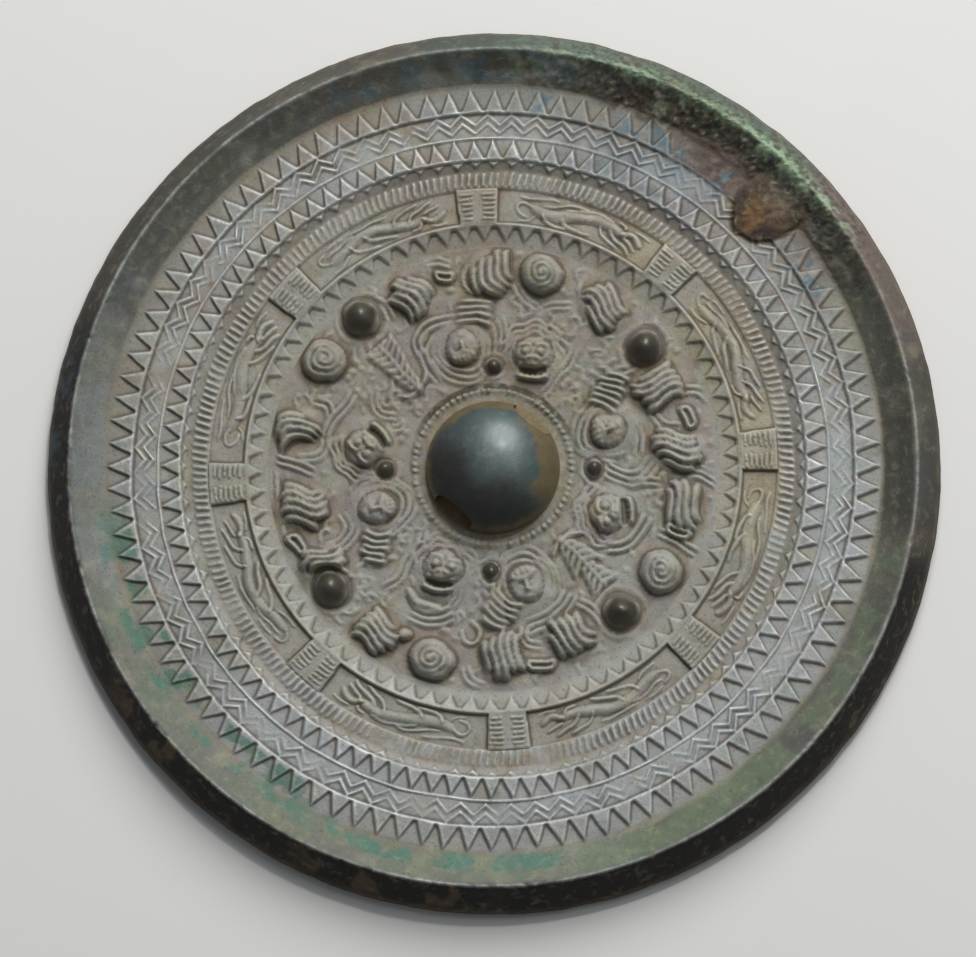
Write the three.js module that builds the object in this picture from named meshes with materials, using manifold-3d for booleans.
// A bronze mirror with a triangular rim, lying on its plain, slightly convex face.
// It is one casting, parted here at the foot of the boss so that collision leaves the bore open.
// Millimetres, +Z up, origin under the middle of the face.
// The bore for the cord runs through the boss along X. Angles are in degrees, counted from X.
import * as THREE from 'three';
import { mergeVertices } from 'three/addons/utils/BufferGeometryUtils.js';
import Module from 'manifold-3d';

// ---- Driving dimensions -------------------------------------------------------------------
const OUTER_R = 110;          // the disc at its edge
const RIDGE_R = 103.7;        // crest of the triangular rim
const RIM_FOOT_R = 95.3;      // inner foot of the rim, where the outer teeth point to
const LINE_A_R = 88.9;        // raised lines between the outer bands
const LINE_B_R = 82.4;
const LINE_C_R = 76.9;        // inner edge of the thick outer field
const SLOPE_FOOT_R = 73.7;    // foot of the toothed slope below line C
const COMB_INNER_R = 69.5;    // inner line of the comb-toothed band
const STEP_R = 60.7;          // step between the seal band and the innermost teeth
const FIELD_R = 55.3;         // edge of the figured field
const BEAD_R = 19.3;          // beaded ring round the boss
const BOSS_R = 16.5;

const FACE_SAG = 2.2;         // how far the edge of the convex face is off the table
const FACE_FLAT_R = 18;       // flat spot in the middle of the face
const EDGE_Z = 2.9;           // top of the narrow upright edge
const RIDGE_Z = 12.5;
const OUTER_Z = 6.3;          // thick outer field
const COMB_Z = 4.9;
const PANEL_Z = 4.3;          // sunk panels between the square seals
const SEAL_Z = 5.3;           // tops of the seals and of the step
const FIELD_Z = 3.1;          // figured field
const BOSS_H = 12.4;          // above the figured field

const OUTER_TEETH = 104;      // each of the three outer rows of teeth
const ZIGZAGS = 88;
const INNER_TEETH = 73;
const SEALS = 8;
const SEAL_HALF = 4.1;        // half the width of a seal, and the spread of its side, in degrees
const SEAL_SIDE = 0.35;
const BEAST_R = 65.1;         // spine of a running beast, its swing, half width and height
const BEAST_SWING = 1.5;
const BEAST_W = 1.6;
const BEAST_H = 0.7;
const BEAST_STEPS = 6;
const LINE_H = 0.4;
const TOOTH_H = 0.9;
const ZIGZAG_H = 0.5;
const SLOPE_TOOTH_H = 0.5;
const ROOT = 1.0;             // how deep a figure's own solid runs into the plate
const PARTING = 0.3;          // between the plate and the boss

const rad = THREE.MathUtils.degToRad;
const TURN = 2 * Math.PI;
const polar = (deg, r) => [r * Math.cos(rad(deg)), r * Math.sin(rad(deg))];

// ---- The turned body: rings of points joined from the face, over the rim, to the boss ------
// A ring is a list of { a, r, z } with rising angles a, in radians from about 0.
function ring(count, r, z, phase = 0) {
  return Array.from({ length: count }, (_, i) => ({ a: ((i + phase) / count) * TURN, r, z }));
}

// A ring whose every other point lies on a second radius and height.
function wave(count, r1, z1, r2, z2) {
  return ring(2 * count, r1, z1).map((p, i) => (i % 2 ? { a: p.a, r: r2, z: z2 } : p));
}

const vertices = [];
const faces = [];

function put(points) {
  return points.map(({ a, r, z }) => vertices.push([r * Math.cos(a), r * Math.sin(a), z]) - 1);
}

// A saw tooth is a triangle between two rings, raised to a peak near its base. Its corner
// number `tip` is the point of the tooth.
function tooth(corners, tip, height) {
  const weight = corners.map((_, i) => (i === tip ? 0.16 : 0.42));
  const mean = (k) => corners.reduce((sum, c, i) => sum + weight[i] * vertices[c][k], 0);
  const peak = vertices.push([mean(0), mean(1), mean(2) + height]) - 1;
  corners.forEach((c, i) => faces.push([c, corners[(i + 1) % 3], peak]));
}

// Joins ring A to ring B, stepping along whichever has the nearer next point. Where teeth are
// asked for, the triangles standing on the named base ring rise to peaks.
function join(A, a, B, b, teeth) {
  const angle = (list, i) => list[i % list.length].a + TURN * Math.floor(i / list.length);
  let i = 0;
  let j = 0;
  while (i < A.length || j < B.length) {
    const stepA = j >= B.length || (i < A.length && angle(A, i + 1) <= angle(B, j + 1));
    const ai = a[i % A.length];
    const bj = b[j % B.length];
    const corners = stepA ? [ai, a[(i + 1) % A.length], bj] : [ai, b[(j + 1) % B.length], bj];
    if (teeth && teeth.base === (stepA ? 'first' : 'second')) tooth(corners, stepA ? 2 : 0, teeth.height);
    else faces.push(corners);
    if (stepA) i += 1;
    else j += 1;
  }
}

// One ring of the seal band: seals stand up between sunk panels, and each panel has a low
// running beast, a long body that swings from side to side. `share` is 0 at the band's foot.
function sealRing(r, share) {
  const sector = 360 / SEALS;
  const foot = SEAL_HALF + SEAL_SIDE;
  const points = [];
  for (let s = 0; s < SEALS; s += 1) {
    const middle = s * sector;
    const top = PANEL_Z + share * (SEAL_Z - PANEL_Z);
    [[-foot, PANEL_Z], [-SEAL_HALF, top], [SEAL_HALF, top], [foot, PANEL_Z]].forEach(([d, z]) => {
      points.push({ a: rad(middle + d), r, z });
    });
    for (let k = 1; k <= BEAST_STEPS; k += 1) {
      const t = k / (BEAST_STEPS + 1);
      const spine = BEAST_R + BEAST_SWING * Math.sin(t * TURN);
      const flesh = Math.exp(-(((r - spine) / BEAST_W) ** 2)) * Math.sqrt(Math.sin(Math.PI * t));
      const d = foot + t * (sector - 2 * foot);
      points.push({ a: rad(middle + d), r, z: PANEL_Z + BEAST_H * flesh * share });
    }
  }
  return points;
}

const MIDDLE_R = 66;          // an extra ring that keeps the convex face smooth
const CHAMFER = 0.8;          // the face turns up into the edge here
const faceZ = (r) => FACE_SAG * ((r - FACE_FLAT_R) / (OUTER_R - FACE_FLAT_R)) ** 2;
const saw = (base) => ({ base, height: TOOTH_H });
const body = [
  [ring(26, FACE_FLAT_R, 0)],
  [ring(52, MIDDLE_R, faceZ(MIDDLE_R))],
  [ring(OUTER_TEETH, OUTER_R - CHAMFER, faceZ(OUTER_R - CHAMFER))],
  [ring(OUTER_TEETH, OUTER_R, EDGE_Z)],
  [ring(OUTER_TEETH, RIDGE_R, RIDGE_Z)],
  [ring(OUTER_TEETH, RIM_FOOT_R, OUTER_Z, 0.5)],
  [ring(OUTER_TEETH, LINE_A_R, OUTER_Z + LINE_H), saw('second')],
  [ring(ZIGZAGS, LINE_A_R - 0.6, OUTER_Z)],
  [wave(ZIGZAGS, 87.3, OUTER_Z + ZIGZAG_H, 84, OUTER_Z + ZIGZAG_H)],
  [ring(ZIGZAGS, LINE_B_R + 0.6, OUTER_Z)],
  [ring(OUTER_TEETH, LINE_B_R, OUTER_Z + LINE_H, 0.5)],
  [ring(OUTER_TEETH, LINE_C_R, OUTER_Z + LINE_H), saw('second')],
  [ring(OUTER_TEETH, SLOPE_FOOT_R, COMB_Z, 0.5), { base: 'first', height: SLOPE_TOOTH_H }],
  [ring(OUTER_TEETH, COMB_INNER_R, COMB_Z + LINE_H)],
  [sealRing(COMB_INNER_R - 0.6, 0)],
  [sealRing(COMB_INNER_R - 1.0, 1)],
  [sealRing(66.1, 1)],
  [sealRing(63.6, 1)],
  [sealRing(STEP_R + 0.4, 1)],
  [ring(INNER_TEETH, STEP_R, SEAL_Z)],
  [ring(INNER_TEETH, FIELD_R, FIELD_Z, 0.5), { base: 'first', height: SLOPE_TOOTH_H }],
  [ring(32, BEAD_R + 0.9, FIELD_Z)],
  [wave(32, BEAD_R, FIELD_Z + 0.7, BEAD_R, FIELD_Z + 0.3)],
  [ring(32, BEAD_R - 0.9, FIELD_Z)],
  [ring(32, BOSS_R, FIELD_Z)],
];

const indices = body.map(([points]) => put(points));
for (let k = 1; k < body.length; k += 1) {
  join(body[k - 1][0], indices[k - 1], body[k][0], indices[k], body[k][1]);
}
const under = vertices.push([0, 0, 0]) - 1;
const crown = vertices.push([0, 0, FIELD_Z]) - 1;
indices[0].forEach((v, i, all) => faces.push([under, all[(i + 1) % all.length], v]));
indices.at(-1).forEach((v, i, all) => faces.push([crown, v, all[(i + 1) % all.length]]));

// ---- Figures of the field, each a small closed solid rooted in the plate -------------------
const wasm = await Module();
wasm.setup();

function solid(points, triangles) {
  return new wasm.Manifold(new wasm.Mesh({
    numProp: 3,
    vertProperties: new Float32Array(points.flat()),
    triVerts: new Uint32Array(triangles.flat()),
  }));
}

// A relief patch over a grid: u runs across it and v along it, both from -1 to 1. The along
// direction points to `turn`, and `shape(u, v)` gives [across, along, height] in millimetres.
function patch([deg, r], turn, nu, nv, shape) {
  const [cx, cy] = polar(deg, r);
  const [c, s] = [Math.cos(rad(turn)), Math.sin(rad(turn))];
  const points = [];
  for (let j = 0; j <= nv; j += 1) {
    for (let i = 0; i <= nu; i += 1) {
      const rim = i === 0 || j === 0 || i === nu || j === nv;
      const [x, y, z] = shape((2 * i) / nu - 1, (2 * j) / nv - 1);
      points.push([cx + x * s + y * c, cy - x * c + y * s, FIELD_Z + (rim ? 0 : z)]);
    }
  }
  const at = (i, j) => j * (nu + 1) + i;
  const triangles = [];
  for (let j = 0; j < nv; j += 1) {
    for (let i = 0; i < nu; i += 1) {
      triangles.push([at(i, j), at(i + 1, j), at(i + 1, j + 1)]);
      triangles.push([at(i, j), at(i + 1, j + 1), at(i, j + 1)]);
    }
  }
  const edge = [];
  for (let i = 0; i < nu; i += 1) edge.push(at(i, 0));
  for (let j = 0; j < nv; j += 1) edge.push(at(nu, j));
  for (let i = nu; i > 0; i -= 1) edge.push(at(i, nv));
  for (let j = nv; j > 0; j -= 1) edge.push(at(0, j));
  points.push([cx, cy, FIELD_Z - ROOT]);
  edge.forEach((v, i) => triangles.push([points.length - 1, edge[(i + 1) % edge.length], v]));
  return solid(points, triangles);
}

// A turned knob: profile is a list of [share of the radius, height], from the foot inwards.
function knob([deg, r], radius, sides, profile, top) {
  const [cx, cy] = polar(deg, r);
  const points = [];
  profile.forEach(([share, z]) => {
    ring(sides, share * radius, z).forEach((p) =>
      points.push([cx + p.r * Math.cos(p.a), cy + p.r * Math.sin(p.a), FIELD_Z + z]));
  });
  const triangles = [];
  for (let k = 0; k + 1 < profile.length; k += 1) {
    for (let i = 0; i < sides; i += 1) {
      const [p, q] = [k * sides + i, k * sides + ((i + 1) % sides)];
      triangles.push([p, q, q + sides], [p, q + sides, p + sides]);
    }
  }
  points.push([cx, cy, FIELD_Z + top], [cx, cy, FIELD_Z - ROOT]);
  const last = (profile.length - 1) * sides;
  for (let i = 0; i < sides; i += 1) {
    triangles.push([last + i, last + ((i + 1) % sides), points.length - 2]);
    triangles.push([(i + 1) % sides, i, points.length - 1]);
  }
  return solid(points, triangles);
}

// A rib: a low ridge of triangular section along a path of [x, y] points, standing on the field.
function rib(path, width, height) {
  const points = [];
  path.forEach(([x, y], i) => {
    const [x0, y0] = path[Math.max(i - 1, 0)];
    const [x1, y1] = path[Math.min(i + 1, path.length - 1)];
    const long = Math.hypot(x1 - x0, y1 - y0);
    const [nx, ny] = [(-(y1 - y0) / long) * (width / 2), ((x1 - x0) / long) * (width / 2)];
    points.push([x + nx, y + ny, FIELD_Z]);
    points.push([x - nx, y - ny, FIELD_Z]);
    points.push([x, y, FIELD_Z + height]);
  });
  const triangles = [[0, 1, 2]];
  for (let i = 0; i + 1 < path.length; i += 1) {
    const [L, R, C, L2, R2, C2] = [0, 1, 2, 3, 4, 5].map((k) => 3 * i + k);
    triangles.push([L, C, C2], [L, C2, L2], [R, R2, C2], [R, C2, C], [L, L2, R2], [L, R2, R]);
  }
  const end = 3 * (path.length - 1);
  triangles.push([end, end + 2, end + 1]);
  return solid(points, triangles);
}

function arc([x, y], radius, from, to, steps) {
  return Array.from({ length: steps + 1 }, (_, i) => {
    const [dx, dy] = polar(from + ((to - from) * i) / steps, radius);
    return [x + dx, y + dy];
  });
}

// A fluted lobe: an oval cushion whose flutes bend in an S along it.
function lobe([deg, r, turn, width, length, bend]) {
  const flutes = 4;
  return patch([deg, r], turn, 2 * flutes, 4, (u, v) => {
    const groove = Math.round((u + 1) * flutes) % 2 === 0 ? 0.7 : 0;
    const crown = Math.sqrt(Math.max(0, 1 - 0.75 * u * u)) * Math.sqrt(1 - 0.75 * v * v);
    const x = (width / 2) * u * Math.sqrt(1 - 0.45 * v * v) + bend * Math.sin((Math.PI * v) / 1.6);
    return [x, (length / 2) * v * Math.sqrt(1 - 0.35 * u * u), 3.1 * crown - groove];
  });
}

// A deity's head: an oval face with a brow, a nose and a flat cap of hair.
function deityHead([deg, r]) {
  return patch([deg, r], deg, 8, 6, (u, v) => {
    const crown = Math.sqrt(Math.max(0, 1 - 0.8 * u * u)) * Math.sqrt(1 - 0.6 * v * v);
    const nose = Math.abs(u) < 0.1 && v > -0.2 && v < 0.5 ? 0.7 : 0;
    const brow = Math.abs(v + 1 / 3) < 0.1 && Math.abs(u) < 0.8 ? 0.4 : 0;
    const taper = 1 - 0.14 * v;
    return [3.9 * u * taper * Math.sqrt(1 - 0.35 * v * v), 4.3 * v, 2.7 * crown + nose + brow];
  });
}

// A beast's head: a broad skull with two round brows and a square muzzle.
function beastHead([deg, r]) {
  return patch([deg, r], deg, 8, 6, (u, v) => {
    const crown = Math.sqrt(1 - 0.7 * u * u) * Math.sqrt(1 - 0.7 * v * v);
    const eye = Math.abs(Math.abs(u) - 0.5) < 0.1 && Math.abs(v) < 0.1 ? 1.0 : 0;
    const muzzle = Math.abs(u) < 0.3 && v > 0.3 ? 0.9 : 0;
    return [4.5 * u * (1 - 0.2 * v), 4.0 * v * Math.sqrt(1 - 0.25 * u * u), 2.2 * crown + eye + muzzle];
  });
}

const studs = [[-12, 47.6], [81, 49.6], [167, 49.7], [261, 47.8]];
const smallStuds = [[-50, 25.4], [40, 25.4], [130, 25.8], [220, 25]];
const whorls = [[25, 49.4], [96, 49.7], [204, 48.6], [278, 48.8]];
const deities = [[-32, 30], [56, 30.4], [151, 30.4], [236, 29.6]];
const beasts = [[19, 31], [111, 31.6], [193.5, 30], [287.5, 29.6]];
// Lobes: angle, radius, direction of the flutes, width, length, bend.
const lobes = [
  [6, 48.6, -100, 10, 10.5, 1.3], [-26, 46.6, -40, 8.5, 10.5, -1.2], [-43, 45.6, -55, 8.5, 10.5, 1.2],
  [45, 46.4, 42, 8.5, 10.5, 0.6], [65, 47.2, -118, 8.5, 11, 1.4], [117, 50.2, 34, 8.5, 11.5, 1.0],
  [142, 47.8, -40, 8, 10.5, 1.2], [160, 48, -88, 7, 9, 0.8], [185, 48.2, -92, 10, 10.5, 1.3],
  [222, 44.8, 38, 9.5, 10, -0.6], [244, 45.6, -112, 9.5, 10.5, 1.2], [300, 47.4, 47, 8.5, 11.5, 1.0],
];
// Bars: angle, radius, direction, length.
const bars = [
  [53.5, 49.6, -50, 5], [-36.5, 50.3, 40, 5], [150, 52, -95, 6], [235, 48.6, -50, 6.5], [291, 49.6, -70, 6],
];
// Wings: centre of the ribs, first radius, number of ribs, from angle, to angle.
const wings = [
  [[-22, 31.5], 3.4, 5, -40, 100], [[45, 42.5], 5.6, 4, 150, 290],
  [[153, 33], 4.6, 5, 150, 285], [[221, 28.5], 4.4, 5, 160, 285],
];
// Canopies: angle, inner and outer end.
const canopies = [[83, 27, 42.5], [262, 24.5, 40.5]];

const hemisphere = [[1, 0], [0.97, 1.2], [0.82, 3.2], [0.5, 4.9]];
const figures = [
  ...studs.map((at) => knob(at, 4.7, 14, hemisphere, 5.7)),
  ...smallStuds.map((at) => knob(at, 2.1, 8, [[1, 0], [0.75, 1.6]], 2.4)),
  ...whorls.map((at) => knob(at, 5.6, 10,
    [[1, 0], [0.9, 1.9], [0.74, 2.9], [0.62, 2.5], [0.46, 3.7], [0.34, 3.3]], 4.3)),
  ...lobes.map(lobe),
  ...deities.map(deityHead),
  ...beasts.map(beastHead),
];
bars.forEach(([deg, r, turn, length]) => {
  const [x, y] = polar(deg, r);
  const [dx, dy] = polar(turn, length / 2);
  figures.push(rib([[x - dx, y - dy], [x, y], [x + dx, y + dy]], 3, 1.7));
});
wings.forEach(([[deg, r], first, count, from, to]) => {
  for (let k = 0; k < count; k += 1) {
    figures.push(rib(arc(polar(deg, r), first + 1.4 * k, from, to, 5), 1.1, 0.8));
  }
});
canopies.forEach(([deg, from, to]) => {
  figures.push(rib([polar(deg, from), polar(deg, to)], 1.2, 1.0));
  for (let r = from + 1.5; r < to; r += 3.4) {
    [-1, 1].forEach((side) => {
      figures.push(rib([polar(deg, r), polar(deg + (side * 180) / r, r + 2.2)], 1.1, 0.9));
    });
  }
});

// A blister of corrosion over the outer field and the inner slope of the rim.
function blister() {
  const [deg, r] = [-7.2, 90.5];
  const spread = ring(14, 1, 0).map(({ a }, i) => [a, 1 + 0.1 * Math.sin(2 * i) + 0.06 * Math.cos(5 * i)]);
  const levels = [[1, -0.6], [0.86, 1.3], [0.5, 1.9]];
  const points = levels.flatMap(([share, z]) => spread.map(([a, k]) => {
    const [x, y] = polar(deg, r + 7.6 * share * k * Math.cos(a));
    const [dx, dy] = polar(deg + 90, 7.2 * share * k * Math.sin(a));
    return [x + dx, y + dy, OUTER_Z + z];
  }));
  const n = spread.length;
  const triangles = [];
  for (let i = 0; i < n; i += 1) {
    const q = (i + 1) % n;
    [0, n].forEach((o) => triangles.push([o + i, o + q, o + n + q], [o + i, o + n + q, o + n + i]));
    triangles.push([2 * n + i, 2 * n + q, 3 * n], [q, i, 3 * n + 1]);
  }
  points.push([...polar(deg, r), OUTER_Z + 1.6], [...polar(deg, r), OUTER_Z - 2]);
  return solid(points, triangles);
}

// The boss: a dome, its foot open below where the bore runs through it.
function dome() {
  const levels = [0, 12, 27, 43, 58, 74];
  const points = levels.flatMap((deg) =>
    ring(32, BOSS_R * Math.cos(rad(deg)), 0).map(({ a, r }) =>
      [r * Math.cos(a), r * Math.sin(a), deg ? FIELD_Z + BOSS_H * Math.sin(rad(deg)) : FIELD_Z + PARTING]));
  const triangles = [];
  const last = 32 * (levels.length - 1);
  for (let i = 0; i < 32; i += 1) {
    const q = (i + 1) % 32;
    for (let o = 0; o < last; o += 32) {
      triangles.push([o + i, o + q, o + q + 32], [o + i, o + q + 32, o + i + 32]);
    }
    triangles.push([last + i, last + q, points.length], [q, i, points.length + 1]);
  }
  points.push([0, 0, FIELD_Z + BOSS_H], [0, 0, FIELD_Z + PARTING]);
  return solid(points, triangles);
}

// The bore for the cord: upright sides and an arch above.
function bore() {
  const [half, below, spring, top, reach] = [5.5, -1, 3.8, 7, BOSS_R + 1.2];
  const section = new THREE.Shape();
  section.moveTo(-half, below).lineTo(half, below).lineTo(half, spring);
  section.absellipse(0, spring, half, top - spring, 0, Math.PI, false, 0);
  const along = { depth: 2 * reach, bevelEnabled: false, curveSegments: 8 };
  const geometry = new THREE.ExtrudeGeometry(section, along);
  geometry.translate(0, 0, -reach).rotateX(Math.PI / 2).rotateZ(Math.PI / 2);
  geometry.translate(0, 0, FIELD_Z);
  geometry.deleteAttribute('normal');
  geometry.deleteAttribute('uv');
  const merged = mergeVertices(geometry, 1e-4);
  return new wasm.Manifold(new wasm.Mesh({
    numProp: 3,
    vertProperties: Float32Array.from(merged.attributes.position.array),
    triVerts: Uint32Array.from(merged.index.array),
  }));
}

const plate = [...figures, blister()]
  .reduce((whole, figure) => whole.add(figure), solid(vertices, faces));

// ---- The finished pieces ------------------------------------------------------------------
const bronze = new THREE.MeshStandardMaterial({ color: 0x6f6a58, roughness: 0.6, metalness: 0.5 });

function piece(name, form) {
  const mesh = form.getMesh();
  const geometry = new THREE.BufferGeometry();
  geometry.setAttribute('position', new THREE.BufferAttribute(mesh.vertProperties, 3));
  geometry.setIndex(new THREE.BufferAttribute(mesh.triVerts, 1));
  geometry.computeVertexNormals();
  const made = new THREE.Mesh(geometry, bronze);
  made.name = name;
  return made;
}

const group = new THREE.Group();
group.add(piece('mirror_plate', plate), piece('boss', dome().subtract(bore())));

export default group;
